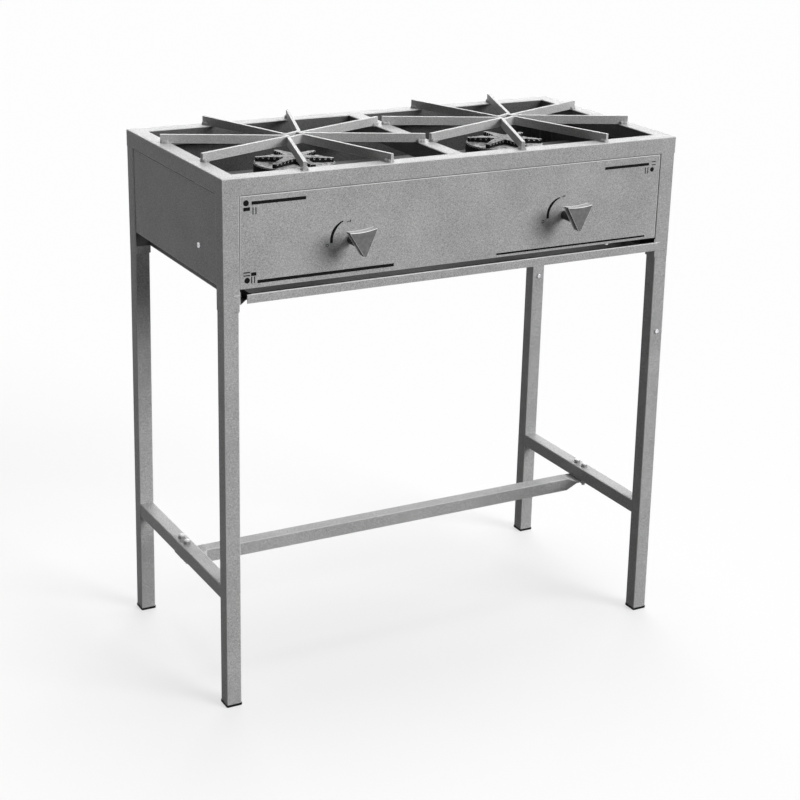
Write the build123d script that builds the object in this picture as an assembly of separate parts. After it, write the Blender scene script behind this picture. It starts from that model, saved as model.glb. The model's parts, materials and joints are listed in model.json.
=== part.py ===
# Two-burner gas range for stock pots, standing on four sleeve-on legs.
# Millimetres. Origin on the floor, midway between the legs; +X right, +Y rear, +Z up.
from build123d import *

import os
from math import asin, atan2, cos, degrees, hypot, radians, sin, tan

# Top frame of square steel tube
frame_width = 752.2
frame_depth = 367.5
frame_top = 800.0
frame_tube = 25.0
frame_wall = 1.2
frame_corner = 1.6

# Legs, their spigots and feet
leg_tube = 23.5
leg_wall = 1.2
leg_corner = 2.0
leg_drop = 189.0
leg_seam = 0.3
splay_x = 4.3
splay_y = 6.45
spigot_tube = 20.5
spigot_wall = 1.5
spigot_in_leg = 141.0
spigot_in_post = 89.0
foot_base = 4.0
foot_overhang = 0.9
foot_plug = 14.0
foot_plug_gap = 0.2
leg_screw_drop = 122.0
leg_screw_d = 4.0
leg_screw_head_d = 8.5
leg_screw_head_h = 2.6
leg_screw_length = 9.0
screw_clearance = 0.1

# Low side rails and the cross bar that ties them
side_rail_tube = 22.0
side_rail_z = 180.5
crossbar_tube = 22.0
crossbar_wall = 1.2
crossbar_y = 3.0
crossbar_drop = 6.0
crossbar_flat = 3.0
crossbar_flat_width = 39.0
crossbar_neck = 14.0
crossbar_flat_start = 19.0
crossbar_flat_corner = 1.4
crossbar_end_inset = 2.0
bolt_d = 6.0
bolt_af = 10.0
bolt_head = 4.0
bolt_pitch = 22.0
bolt_nut = 5.0
bolt_tail = 3.5

# Folded sheet panels
sheet = 1.0
panel_bend = 2.0
panel_flange = 12.0
panel_recess = 1.0
panel_gap = 0.4
front_panel_drop = 157.7
side_panel_drop = 155.0
panel_screw_inset = 84.95
panel_screw_drop = 111.1

# Drip tray and its runners
runner_sheet = 1.2
runner_drop = 179.0
runner_height = 19.0
runner_flange = 24.0
runner_mitre_x = 17.0
runner_mitre_y = 20.0
runner_setback = 0.8
tray_play = 0.3
tray_sheet = 0.8
tray_offset = 7.0
tray_side_room = 20.2
tray_back_room = 23.75
tray_wall = 11.5
tray_corner = 5.0
strip_side_room = 6.2
strip_height = 12.7
strip_sheet = 1.0
strip_gap = 0.8
strip_lip = 6.0

# Pot supports of bent flat bar, one over each burner
grate_left_shift = -1.5
grate_right_shift = 0.8
bar_depth = 12.7
bar_thick = 4.76
bar_bend = 0.9
bar_easy_bend = 3.6
bar_flat_angle = 29.0
bar_slot = 12.6
bar_flat_from = -24.5
bar_flat_to = 8.0
bar_foot_inset = 5.75
bar_steady_x = 69.5
bar_cross_left = (-66.5, 72.5)
bar_cross_right = (-79.0, 76.0)
bar_side_tip = (-8.0, -7.0)
bar_high_lap = 12.7
bar_high_y = 71.0
bar_low_lap = 6.7
bar_low_y = -73.0
foot_weld = 2.2
weld_length = 9.0
weld_spots = ((-17.7, -5.0, 3.2), (-10.3, 7.5, 4.5))

# Burners of cast iron, on two carrier bars
carrier_drop = 55.0
carrier_thick = 3.0
carrier_width = 30.0
carrier_rear_y = 67.0
carrier_front_y = -60.0
carrier_upstand = 24.0
carrier_bend = 4.0
burner_left_shift = -0.5
burner_right_shift = 0.5
bowl_radius = 61.0
bowl_height = 26.0
bowl_wall = 5.0
bowl_floor = 5.0
bowl_foot_radius = 56.0
bowl_rim_bevel = 1.6
star_arms = 6
star_turn = 34.0
star_radius = 58.5
star_tip_half = 3.4
star_valley_radius = 18.0
star_tip_corner = 2.2
star_valley_corner = 2.5
star_wall = 2.4
star_roof = 2.6
star_height = 8.6
star_edge_drop = 2.0
star_edge_round = 0.7
seat_width = 3.0
cap_seat_gap = 0.1
locator_radius = 11.8
locator_wall = 1.8
locator_drop = 4.0
port_d = 2.2
port_count = 5
port_first = 21.0
port_pitch = 8.3
collar_d = 32.0
collar_drop = 12.0
throat_bend = 32.0
mixer_outer = 30.0
mixer_inner = 22.0
mouth_outer = 36.0
mouth_wall = 3.0
mouth_length = 20.0
mouth_room = 18.0
jet_clearance = 1.2
air_window_d = 9.0
air_window_count = 4

# Air shutters that turn on the mixer mouths
shutter_gap = 0.3
shutter_sheet = 1.2
shutter_length = 14.0
shutter_set_in = 1.5

# Valves, jets and knobs
knob_left_shift = 0.2
knob_right_shift = -5.2
valve_drop = 102.5
knob_reach = 46.35
knob_thick = 10.8
knob_top_half = 22.0
knob_top_rise = 22.8
knob_dish = 2.0
knob_tip_fall = 15.6
knob_tip_half = 2.2
knob_tip_round = 1.0
knob_corner = 0.8
knob_edge = 0.7
knob_hub_d = 13.0
knob_panel_gap = 0.8
knob_left_turn = 4.4
knob_right_turn = 1.4
stem_d = 8.0
stem_flat = 1.4
stem_fit = 0.05
stem_in_knob = 10.0
stem_in_valve = 18.0
panel_stem_hole = 10.6
valve_d = 20.0
valve_nose_d = 15.0
valve_nose = 7.0
valve_inset = 8.75
valve_length = 44.0
valve_port_d = 12.0
jet_af = 12.0
jet_hex = 6.0
jet_tip_d = 9.0
jet_length = 21.0
jet_bore = 1.6

# Gas pipe along the front and back through the rear panel
pipe_d = 15.9
pipe_wall = 1.6
pipe_inset = 38.75
pipe_drop = 128.0
pipe_side_room = 45.1
pipe_turn_r = 32.0
pipe_end_inset = 6.75
pipe_port_d = 7.0
bracket_sheet = 2.0
bracket_margin = 4.0
bracket_screw_margin = 10.0
bracket_corner = 5.0
bracket_socket = 10.0
bracket_socket_wall = 2.0
bracket_fit = 0.1
nozzle_hex_af = 19.0
nozzle_hex = 9.0
nozzle_spigot_d = 9.5
nozzle_bore = 6.0
nozzle_length = 41.65
nozzle_in_pipe = 8.0
nozzle_plain = 15.0
nozzle_rings = 2
nozzle_ring_rise = 1.0
nozzle_ring_share = 0.8

# Places worked out from the sizes above
half_w = frame_width / 2
half_d = frame_depth / 2
rail_bottom = frame_top - frame_tube
post_in_x = half_w - frame_tube
post_in_y = half_d - frame_tube
cell_middle = (post_in_x + frame_tube / 2) / 2
cell_half = (post_in_x - frame_tube / 2) / 2
side_sheet_x = half_w - panel_recess - sheet
rear_face_y = half_d - panel_recess
front_face_y = -rear_face_y
leg_top = frame_top - leg_drop
leg_screw_z = leg_top - leg_screw_drop
front_panel_bottom = frame_top - front_panel_drop
side_panel_bottom = frame_top - side_panel_drop
panel_screw_y = -half_d + panel_screw_inset
panel_screw_z = frame_top - panel_screw_drop
runner_bottom = frame_top - runner_drop
tray_width = 2 * post_in_x - tray_side_room
strip_width = 2 * post_in_x - strip_side_room
tray_back = half_d - tray_back_room
grate_left_x = -cell_middle + grate_left_shift
grate_right_x = cell_middle + grate_right_shift
bar_reach_y = half_d - bar_foot_inset
bar_side_high = (-cell_half - bar_high_lap, bar_high_y)
bar_side_low = (-cell_half - bar_low_lap, bar_low_y)
carrier_top = frame_top - carrier_drop
valve_z = frame_top - valve_drop
valve_front_y = front_face_y + valve_inset
valve_back_y = valve_front_y + valve_length
mouth_y = valve_back_y + mouth_room
knob_face_y = front_face_y - knob_reach
knob_left_x = -cell_middle + knob_left_shift
knob_right_x = cell_middle + knob_right_shift
burner_left_x = -cell_middle + burner_left_shift
burner_right_x = cell_middle + burner_right_shift
burner_left_turn = -degrees(asin((knob_left_x - burner_left_x) / mouth_y))
burner_right_turn = -degrees(asin((knob_right_x - burner_right_x) / mouth_y))
pipe_y = front_face_y + pipe_inset
pipe_z = frame_top - pipe_drop
pipe_turn_x = half_w - panel_recess - pipe_side_room
pipe_back_y = rear_face_y - pipe_end_inset
nozzle_end_y = rear_face_y + nozzle_length
corners = [(sx, sy) for sx in (-1, 1) for sy in (-1, 1)]
corner_names = {(-1, -1): "front_left", (1, -1): "front_right",
                (-1, 1): "rear_left", (1, 1): "rear_right"}


def tube_section(size, wall, corner):
    """Square tube seen end on."""
    inside = max(corner - wall, 0.4)
    bore = size - 2 * wall
    return RectangleRounded(size, size, corner) - RectangleRounded(bore, bore, inside)


def leg_axis(sx, sy, z):
    """Centre of a leg at height z: flush with the post above, splayed below the joint."""
    share = max(leg_top - z, 0) / leg_top
    return (sx * (half_w - leg_tube / 2 + splay_x * share),
            sy * (half_d - leg_tube / 2 + splay_y * share))


def leaning(section, sx, sy, z0, z1):
    """Run a section up along a leg's own lean."""
    x0, y0 = leg_axis(sx, sy, z0)
    x1, y1 = leg_axis(sx, sy, z1)
    lean = Vector(x1 - x0, y1 - y0, z1 - z0)
    return extrude(Pos(x0, y0, z0) * section, amount=lean.length, dir=lean.normalized())


def save(node, shape):
    """Write one node; a list is a set of separate solids."""
    solids = list(shape) if isinstance(shape, (list, tuple)) else [shape]
    flat = [s for item in solids for s in item.solids()]
    whole = flat[0] if len(flat) == 1 else Compound(children=flat)
    whole.label = node
    export_step(whole, f"parts/{node}.step")


def hexagon(across_flats):
    return RegularPolygon(across_flats / 2, 6, major_radius=False)


def disc_y(radius, y0, y1, x=0.0, z=0.0):
    """Cylinder along Y between two places."""
    return Pos(x, (y0 + y1) / 2, z) * Rot(90, 0, 0) * Cylinder(radius, abs(y1 - y0))


def disc_z(radius, z0, z1, x=0.0, y=0.0):
    return Pos(x, y, (z0 + z1) / 2) * Cylinder(radius, abs(z1 - z0))


def build_frame():
    """Mitred top ring, centre divider and corner posts."""
    section = tube_section(frame_tube, frame_wall, frame_corner)

    def mitred(length):
        bar = extrude(Plane.YZ * section, amount=length / 2, both=True)
        for end in (-1, 1):
            # weld to the post below, ground flush with the outer face
            bar += Pos(end * (length - frame_tube) / 2, (frame_corner - frame_tube) / 2,
                       (frame_corner - frame_tube) / 2) * Box(
                frame_tube, frame_corner, frame_corner)
        for end in (-1, 1):
            cut = Plane(origin=(end * length / 2, -frame_tube / 2, 0), z_dir=(end, 1, 0))
            bar = split(bar, bisect_by=cut, keep=Keep.BOTTOM)
        return bar

    height = frame_top - frame_tube / 2
    long_rail = Pos(0, -half_d + frame_tube / 2, height) * mitred(frame_width)
    side_rail = Pos(0, -half_w + frame_tube / 2, height) * mitred(frame_depth)
    save("front_top_rail", long_rail)
    save("rear_top_rail", Rot(0, 0, 180) * long_rail)
    save("left_top_rail", Rot(0, 0, -90) * side_rail)
    save("right_top_rail", Rot(0, 0, 90) * side_rail)
    divider = extrude(Plane.XZ * section, amount=post_in_y, both=True)
    save("centre_divider", Pos(0, 0, height) * divider)
    for sx, sy in corners:
        post = extrude(section, amount=rail_bottom - leg_top)
        place = Pos(sx * (half_w - frame_tube / 2), sy * (half_d - frame_tube / 2), leg_top)
        save(f"{corner_names[sx, sy]}_post", place * post)


def screw_side(sx):
    """The left legs are fixed from behind, the right legs from the front."""
    return 1 if sx < 0 else -1


def leg_screw(sx, sy):
    x, y = leg_axis(sx, sy, leg_screw_z)
    side = screw_side(sx)
    face = y + side * leg_tube / 2
    head = disc_y(leg_screw_head_d / 2, face + side * 0.1,
                  face + side * leg_screw_head_h, x, leg_screw_z)
    outer = head.faces().sort_by(Axis.Y)[-1 if side > 0 else 0]
    head = fillet(outer.edges(), leg_screw_head_h * 0.45)
    shank = disc_y(leg_screw_d / 2, face + side * 0.3,
                   face - side * leg_screw_length, x, leg_screw_z)
    return head + shank


def build_legs():
    """Splayed legs that slide over spigots held in the posts."""
    section = tube_section(leg_tube, leg_wall, leg_corner)
    inner = tube_section(spigot_tube, spigot_wall, leg_corner)
    spigots = []
    screws = []
    plug = leg_tube - 2 * leg_wall - 2 * foot_plug_gap
    for sx, sy in corners:
        side = screw_side(sx)
        x, y = leg_axis(sx, sy, leg_screw_z)
        drill = disc_y(leg_screw_d / 2 + screw_clearance, y,
                       y + side * leg_tube, x, leg_screw_z)
        leg = leaning(section, sx, sy, foot_base, leg_top - leg_seam)
        save(f"{corner_names[sx, sy]}_leg", leg - drill)
        spigot = leaning(inner, sx, sy, leg_top - spigot_in_leg, leg_top)
        spigot += leaning(inner, sx, sy, leg_top, leg_top + spigot_in_post)
        spigots.append(spigot - drill)
        screws.append(leg_screw(sx, sy))
        fx, fy = leg_axis(sx, sy, foot_base)
        pad = leg_tube + 2 * foot_overhang
        cap = extrude(RectangleRounded(pad, pad, leg_corner + foot_overhang), foot_base)
        cap = chamfer(cap.faces().sort_by(Axis.Z)[0].edges(), foot_overhang)
        ribbed = RectangleRounded(plug, plug, leg_corner) - Rectangle(plug - 4, plug - 4)
        cap = Pos(fx, fy, 0) * cap
        cap += leaning(ribbed, sx, sy, foot_base - 0.5, foot_base + foot_plug)
        save(f"{corner_names[sx, sy]}_foot_cap", cap)
    save("leg_spigots", spigots)
    save("leg_screws", screws)


def build_low_rails():
    """Side rails between the legs and the cross bar bolted under them."""
    section = tube_section(side_rail_tube, leg_wall, leg_corner)
    low = side_rail_z - side_rail_tube / 2
    high = side_rail_z + side_rail_tube / 2
    bolts = []
    nuts = []
    for sx, name in ((-1, "left"), (1, "right")):
        x, y = leg_axis(sx, 1, side_rail_z)
        reach = y - leg_tube / 2
        rail = Pos(x, 0, side_rail_z) * extrude(Plane.XZ * section, amount=half_d, both=True)
        for end in (-1, 1):
            face = Plane(origin=(x, end * reach, side_rail_z),
                         z_dir=(0, end, splay_y / leg_top))
            rail = split(rail, bisect_by=face, keep=Keep.BOTTOM)
        for step in (-1, 1):
            by = crossbar_y + step * bolt_pitch / 2
            rail -= disc_z(bolt_d / 2 + screw_clearance, low - 1, high + 1, x, by)
            head = Pos(x, by, high) * extrude(hexagon(bolt_af), bolt_head)
            tip = low - crossbar_flat - bolt_nut - bolt_tail
            bolts.append(head + disc_z(bolt_d / 2, tip, high + 0.5, x, by))
            nut = extrude(hexagon(bolt_af), bolt_nut) - Cylinder(
                bolt_d / 2 + screw_clearance, 4 * bolt_nut)
            nuts.append(Pos(x, by, low - crossbar_flat - bolt_nut) * nut)
        save(f"side_rail_{name}", rail)
    save("crossbar_bolts", bolts)
    save("crossbar_nuts", nuts)

    rail_x = leg_axis(1, 1, side_rail_z)[0]
    flat_z = low - crossbar_flat / 2
    body_z = flat_z - crossbar_drop + crossbar_flat / 2
    neck_end = rail_x - crossbar_flat_start
    neck_start = neck_end - crossbar_neck
    bar_end = rail_x + side_rail_tube / 2 - crossbar_end_inset
    tube = tube_section(crossbar_tube, crossbar_wall, leg_corner)
    bar = Pos(0, 0, body_z) * extrude(Plane.YZ * tube, amount=neck_start, both=True)
    for end in (-1, 1):
        at_body = Plane(origin=(end * neck_start, 0, body_z), x_dir=(0, 1, 0), z_dir=(end, 0, 0))
        at_flat = Plane(origin=(end * neck_end, 0, flat_z), x_dir=(0, 1, 0), z_dir=(end, 0, 0))
        bore = crossbar_tube - 2 * crossbar_wall
        neck = loft([at_body * RectangleRounded(crossbar_tube, crossbar_tube, leg_corner),
                     at_flat * RectangleRounded(crossbar_flat_width, crossbar_flat,
                                                crossbar_flat_corner)],
                    ruled=True)
        hollow = loft([at_body * RectangleRounded(bore, bore, leg_corner - crossbar_wall),
                       at_flat * RectangleRounded(crossbar_flat_width - 3, 0.6, 0.28)],
                      ruled=True)
        end_plate = extrude(at_flat * RectangleRounded(
            crossbar_flat_width, crossbar_flat, crossbar_flat_corner), bar_end - neck_end)
        bar += neck - hollow
        bar += end_plate
        for step in (-1, 1):
            bar -= disc_z(bolt_d / 2 + screw_clearance, low - 3 * crossbar_flat, low + 1,
                          end * rail_x, step * bolt_pitch / 2)
    save("crossbar", Pos(0, crossbar_y, 0) * bar)


def folded_panel(width, low, high):
    """Sheet with a flange folded back along each edge; the show face looks along -Y."""
    height = high - low
    middle = (low + high) / 2
    blank = Pos(0, panel_flange / 2, middle) * Box(width, panel_flange, height)
    blank = fillet(blank.faces().sort_by(Axis.Y)[0].edges(), panel_bend)
    hollow = Pos(0, panel_flange / 2 + sheet, middle) * Box(
        width - 2 * sheet, panel_flange, height - 2 * sheet)
    hollow = fillet(hollow.faces().sort_by(Axis.Y)[0].edges(), panel_bend - sheet)
    return blank - hollow


def build_panels():
    high = rail_bottom - panel_gap
    long_panel = folded_panel(frame_width - 2 * frame_tube - 2 * panel_gap,
                              front_panel_bottom, high)
    side_panel = folded_panel(frame_depth - 2 * frame_tube - 2 * panel_gap,
                              side_panel_bottom, high)
    front = Pos(0, front_face_y, 0) * long_panel
    for x in (knob_left_x, knob_right_x):
        front -= disc_y(panel_stem_hole / 2, -half_d, -half_d + panel_flange, x, valve_z)
    save("front_panel", front)
    rear = Rot(0, 0, 180) * Pos(0, front_face_y, 0) * long_panel
    rear -= disc_y(pipe_d / 2 + screw_clearance, half_d, half_d - panel_flange,
                   pipe_turn_x, pipe_z)
    save("rear_panel", rear)
    side = Pos(0, -half_w + panel_recess, 0) * side_panel
    left = Rot(0, 0, -90) * side
    hole = Pos(-half_w, panel_screw_y, panel_screw_z) * Rot(0, 90, 0) * Cylinder(
        leg_screw_d / 2 + screw_clearance, 3 * panel_flange)
    save("left_panel", left - hole)
    save("right_panel", Rot(0, 0, 90) * side)
    outer = -half_w + panel_recess
    head = Pos(outer - leg_screw_head_h / 2, panel_screw_y, panel_screw_z) * Rot(
        0, 90, 0) * Cylinder(leg_screw_head_d / 2, leg_screw_head_h)
    head = fillet(head.faces().sort_by(Axis.X)[0].edges(), leg_screw_head_h * 0.45)
    shank = Pos(outer + leg_screw_length / 2, panel_screw_y, panel_screw_z) * Rot(
        0, 90, 0) * Cylinder(leg_screw_d / 2, leg_screw_length)
    save("panel_screw", head + shank)


def build_tray():
    """Shallow pan behind a front strip, carried on two angle runners."""
    depth = 2 * (half_d - runner_setback)
    for sx, name in ((-1, "left"), (1, "right")):
        web = Pos(post_in_x - runner_sheet / 2, 0, runner_bottom + runner_height / 2) * Box(
            runner_sheet, depth, runner_height)
        shelf = Pos(post_in_x - runner_flange / 2, 0, runner_bottom + runner_sheet / 2) * Box(
            runner_flange, depth, runner_sheet)
        for end in (-1, 1):
            tip = Plane(origin=(post_in_x - runner_sheet, end * depth / 2, 0),
                        z_dir=(-runner_mitre_y, end * runner_mitre_x, 0))
            shelf = split(shelf, bisect_by=tip, keep=Keep.BOTTOM)
        runner = web + shelf
        bend = runner.edges().filter_by(Axis.Y).sort_by(
            lambda e: (e.center().X - post_in_x) ** 2 + (e.center().Z - runner_bottom) ** 2)[0]
        runner = fillet(bend, runner_sheet)
        save(f"tray_runner_{name}", runner if sx > 0 else mirror(runner, Plane.YZ))

    low = runner_bottom + runner_sheet + tray_play
    strip_back = -half_d - strip_gap
    front = strip_back
    pan_depth = tray_back - front
    place = Pos(tray_offset, (tray_back + front) / 2, low + tray_wall / 2)
    pan = place * Box(tray_width, pan_depth, tray_wall)
    pan = fillet(pan.edges().filter_by(Axis.Z), tray_corner)
    hollow = place * Pos(0, 0, tray_sheet) * Box(
        tray_width - 2 * tray_sheet, pan_depth - 2 * tray_sheet, tray_wall)
    hollow = fillet(hollow.edges().filter_by(Axis.Z), tray_corner - tray_sheet)
    pan -= hollow
    with BuildPart() as strip:
        with BuildSketch(Plane.YZ):
            with BuildLine():
                top = low + strip_height
                Polyline((strip_back, low), (strip_back - strip_sheet, low),
                         (strip_back - strip_sheet, top), (strip_back + strip_lip, top),
                         (strip_back + strip_lip, top - strip_sheet),
                         (strip_back, top - strip_sheet), close=True)
            make_face()
        extrude(amount=strip_width / 2, both=True)
        outer = strip.edges().filter_by(Axis.X).sort_by(
            lambda e: -e.center().Z + e.center().Y)[0]
        fillet(outer, strip_sheet * 0.9)
    strip = Pos(tray_offset, 0, 0) * strip.part
    over = Pos(0, strip_back + strip_lip, low + strip_height) * Box(
        3 * frame_width, 2 * strip_lip, 4 * strip_sheet)
    keep = Pos(tray_offset, strip_back + strip_lip, low + strip_height) * Box(
        tray_width, 3 * strip_lip, 5 * strip_sheet)
    strip -= over - keep
    save("drip_tray", pan + strip)


def bent_bar(path_points, bends):
    """Flat bar on edge that follows a path, standing on the top rails."""
    line = FilletPolyline(*path_points, radius=bends)
    section = Plane(origin=line @ 0, z_dir=line % 0, x_dir=(0, 0, 1))
    bar = sweep(section * Rectangle(bar_depth, bar_thick), path=line)
    return bar


def pot_support(cross_ends):
    """Four bent bars about the middle of one cell, welded where they pass each other."""
    along = Vector(cos(radians(bar_flat_angle)), sin(radians(bar_flat_angle)))
    across = Vector(-along.Y, along.X)
    off = bar_slot / 2 + bar_thick / 2
    z = frame_top + bar_depth / 2
    tight = bar_bend + bar_thick / 2
    easy = bar_easy_bend + bar_thick / 2

    def spot(u, w):
        point = along * u + across * w
        return (point.X, point.Y, z)

    whole = None
    for turn, cross in zip((0, 180), (cross_ends[0], -cross_ends[1])):
        cross_bar = [(cross, -bar_reach_y, z), spot(bar_flat_from, -off),
                     spot(bar_flat_to, -off), (bar_steady_x, -bar_reach_y, z)]
        side_bar = [(*bar_side_high, z), (*bar_side_tip, z), (*bar_side_low, z)]
        beads = [disc_z(radius, frame_top + 1, frame_top + bar_depth - 1.5, *spot(u, w)[:2])
                 for u, w, radius in weld_spots]
        for foot, back in ((cross_bar[0], cross_bar[1]), (cross_bar[3], cross_bar[2]),
                           (side_bar[0], side_bar[1]), (side_bar[2], side_bar[1])):
            beads.append(foot_bead(foot, back))
        for item in [bent_bar(cross_bar, [tight, easy]), bent_bar(side_bar, [tight]), *beads]:
            item = Rot(0, 0, turn) * item
            whole = item if whole is None else whole + item
    return whole


def foot_bead(foot, back):
    """Weld bead along both sides of a bar's foot, flat on the rail."""
    dx = back[0] - foot[0]
    dy = back[1] - foot[1]
    share = weld_length * 0.7 / hypot(dx, dy)
    place = Pos(foot[0] + dx * share, foot[1] + dy * share, frame_top)
    bead = Rot(0, 90, 0) * Cylinder(foot_weld + bar_thick / 2, weld_length)
    bead = split(bead, bisect_by=Plane.XY, keep=Keep.TOP)
    return place * Rot(0, 0, degrees(atan2(dy, dx))) * bead


def build_supports():
    save("grate_left", Pos(grate_left_x, 0, 0) * pot_support(bar_cross_left))
    save("grate_right", Pos(grate_right_x, 0, 0) * pot_support(bar_cross_right))


def star(inset=0.0):
    """Six straight tapering arms seen from above, all edges moved in by the inset."""
    half_step = radians(180 / star_arms)
    x0 = star_valley_radius * cos(half_step)
    y0 = star_valley_radius * sin(half_step)
    run = star_radius - x0
    fall = (y0 - star_tip_half) / run
    level = y0 + fall * x0 - inset * hypot(1, fall)
    tip_x = star_radius - inset
    tip_y = level - fall * tip_x
    valley_x = level / (tan(half_step) + fall)
    valley_radius = valley_x / cos(half_step)
    corners_xy = []
    for step in range(star_arms):
        turn = radians(star_turn) + 2 * step * half_step
        along = Vector(cos(turn), sin(turn))
        across = Vector(-sin(turn), cos(turn))
        for side in (-1, 1):
            tip = along * tip_x + across * (side * tip_y)
            corners_xy.append((tip.X, tip.Y))
        corners_xy.append((valley_radius * cos(turn + half_step),
                           valley_radius * sin(turn + half_step)))
    face = Polygon(*corners_xy, align=None)
    tips = face.vertices().filter_by(lambda v: hypot(v.X, v.Y) > (tip_x + valley_radius) / 2)
    round_by = min(star_tip_corner, 0.8 * tip_y)
    face = fillet(tips, round_by)
    valleys = face.vertices().filter_by(lambda v: hypot(v.X, v.Y) < valley_radius + 0.1)
    return fillet(valleys, star_valley_corner)


def burner_bowl():
    """Round cast bowl with its throat, elbow and mixer tube in one piece."""
    deck = carrier_top + bowl_height
    with BuildPart() as drum:
        with BuildSketch(Plane.XZ):
            with BuildLine():
                Polyline((0, carrier_top), (bowl_foot_radius, carrier_top),
                         (bowl_radius, carrier_top + bowl_wall),
                         (bowl_radius, deck - bowl_rim_bevel),
                         (bowl_radius - bowl_rim_bevel, deck), (0, deck), close=True)
            make_face()
        revolve(axis=Axis.Z)
    body = drum.part
    body -= Pos(0, 0, carrier_top + bowl_floor) * extrude(star(seat_width), bowl_height)
    sunk = 0.5
    with BuildLine() as route:
        FilletPolyline((0, 0, carrier_top + sunk), (0, 0, valve_z),
                       (0, mouth_y + mouth_length, valve_z), radius=throat_bend)
    start = Plane(origin=(0, 0, carrier_top + sunk), z_dir=(0, 0, -1))
    pipe = sweep(start * Circle(mixer_outer / 2), path=route.wire())
    bore = sweep(start * Circle(mixer_inner / 2), path=route.wire())
    collar = disc_z(collar_d / 2, carrier_top - collar_drop, carrier_top + sunk)
    mouth = disc_y(mouth_outer / 2, mouth_y, mouth_y + mouth_length, 0, valve_z)
    body = body + pipe + collar + mouth - bore
    body -= disc_z(mixer_inner / 2, carrier_top - sunk, carrier_top + 2 * bowl_floor)
    chamber = mouth_outer / 2 - mouth_wall
    body -= disc_y(chamber, mouth_y + mouth_wall, mouth_y + mouth_length - mouth_wall,
                   0, valve_z)
    body -= disc_y(jet_tip_d / 2 + jet_clearance, mouth_y - sunk, mouth_y + mouth_length,
                   0, valve_z)
    window_y = mouth_y + shutter_set_in + shutter_length / 2
    for step in range(air_window_count):
        turn = 360 * step / air_window_count
        window = Pos(0, window_y, valve_z) * Rot(0, turn, 0) * Pos(0, 0, mouth_outer / 2) * (
            Cylinder(air_window_d / 2, 4 * mouth_wall))
        body -= window
    return body


def burner_cap():
    """Star cap, crowned at the middle, with ports drilled along its upper edges."""
    deck = carrier_top + bowl_height + cap_seat_gap
    crown = deck + star_height
    edge = crown - star_edge_drop
    # the ball whose cap falls by the edge drop from the middle to the arms' tips
    crown_radius = (star_radius ** 2 + star_edge_drop ** 2) / (2 * star_edge_drop)
    cap = Pos(0, 0, deck) * extrude(star(), star_height)
    cap &= Pos(0, 0, crown - crown_radius) * Sphere(crown_radius)
    rim = cap.edges().filter_by(lambda e: e.center().Z > deck + star_height / 2)
    cap = fillet(rim, star_edge_round)
    cap -= Pos(0, 0, deck) * extrude(star(star_wall), edge - star_roof - deck)
    ring = Circle(locator_radius) - Circle(locator_radius - locator_wall)
    cap += Pos(0, 0, deck - locator_drop) * extrude(
        ring, edge - star_roof / 2 - deck + locator_drop)
    half_step = radians(180 / star_arms)
    valley_x = star_valley_radius * cos(half_step)
    valley_y = star_valley_radius * sin(half_step)
    taper = (valley_y - star_tip_half) / (star_radius - valley_x)
    for arm in range(star_arms):
        place = Rot(0, 0, star_turn + 360 * arm / star_arms)
        for step in range(port_count):
            x = port_first + step * port_pitch
            y = valley_y - taper * (x - valley_x)
            for side in (-1, 1):
                # one at a time, since the first ports of two arms lie close together
                cap -= place * Pos(x, side * y, edge) * Rot(side * -45, 0, 0) * (
                    Cylinder(port_d / 2, 3 * star_wall))
    return cap


def build_burners():
    bowl = burner_bowl()
    cap = burner_cap()
    shutter = air_shutter()
    for x, turn, name in ((burner_left_x, burner_left_turn, "left"),
                          (burner_right_x, burner_right_turn, "right")):
        place = Pos(x, 0, 0) * Rot(0, 0, turn)
        save(f"burner_bowl_{name}", place * bowl)
        save(f"burner_cap_{name}", place * cap)
        save(f"air_shutter_{name}", place * shutter)
    span = side_sheet_x
    for y, name in ((carrier_front_y, "front"), (carrier_rear_y, "rear")):
        with BuildPart() as carrier:
            with BuildSketch(Plane.XZ):
                with BuildLine():
                    Polyline((-span, carrier_top + carrier_upstand),
                             (-span, carrier_top - carrier_thick),
                             (span, carrier_top - carrier_thick),
                             (span, carrier_top + carrier_upstand),
                             (span - carrier_thick, carrier_top + carrier_upstand),
                             (span - carrier_thick, carrier_top),
                             (-span + carrier_thick, carrier_top),
                             (-span + carrier_thick, carrier_top + carrier_upstand),
                             close=True)
                make_face()
            extrude(amount=carrier_width / 2, both=True)
            outer = carrier.edges().filter_by(Axis.Y).group_by(Axis.Z)[0]
            fillet(outer, carrier_bend)
        save(f"burner_carrier_{name}", Pos(0, y, 0) * carrier.part)


def air_shutter():
    """Thin sleeve with windows, free to turn on the mixer mouth."""
    y0 = mouth_y + shutter_set_in
    inner = mouth_outer / 2 + shutter_gap
    sleeve = disc_y(inner + shutter_sheet, y0, y0 + shutter_length, 0, valve_z)
    sleeve -= disc_y(inner, y0 - 1, y0 + shutter_length + 1, 0, valve_z)
    for step in range(air_window_count):
        turn = 360 * step / air_window_count
        sleeve -= Pos(0, y0 + shutter_length / 2, valve_z) * Rot(0, turn, 0) * Pos(
            0, 0, inner) * Cylinder(air_window_d / 2, 4 * shutter_sheet)
    return sleeve


def knob_shape():
    """Lobed grip, wide and dished above, narrow below, on a round hub."""
    with BuildPart() as knob:
        with BuildSketch(Plane.XZ):
            with BuildLine():
                left = (-knob_top_half, knob_top_rise)
                right = (knob_top_half, knob_top_rise)
                tip_z = knob_tip_round - knob_tip_fall
                ThreePointArc(left, (0, knob_top_rise - knob_dish), right)
                Line(right, (knob_tip_half, tip_z))
                ThreePointArc((knob_tip_half, tip_z), (0, -knob_tip_fall),
                              (-knob_tip_half, tip_z))
                Line((-knob_tip_half, tip_z), left)
            make_face()
        extrude(amount=knob_thick)
        fillet(knob.edges().filter_by(Axis.Y), knob_corner)
        fillet(knob.faces().sort_by(Axis.Y)[0].edges(), knob_edge)
    return knob.part


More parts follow.
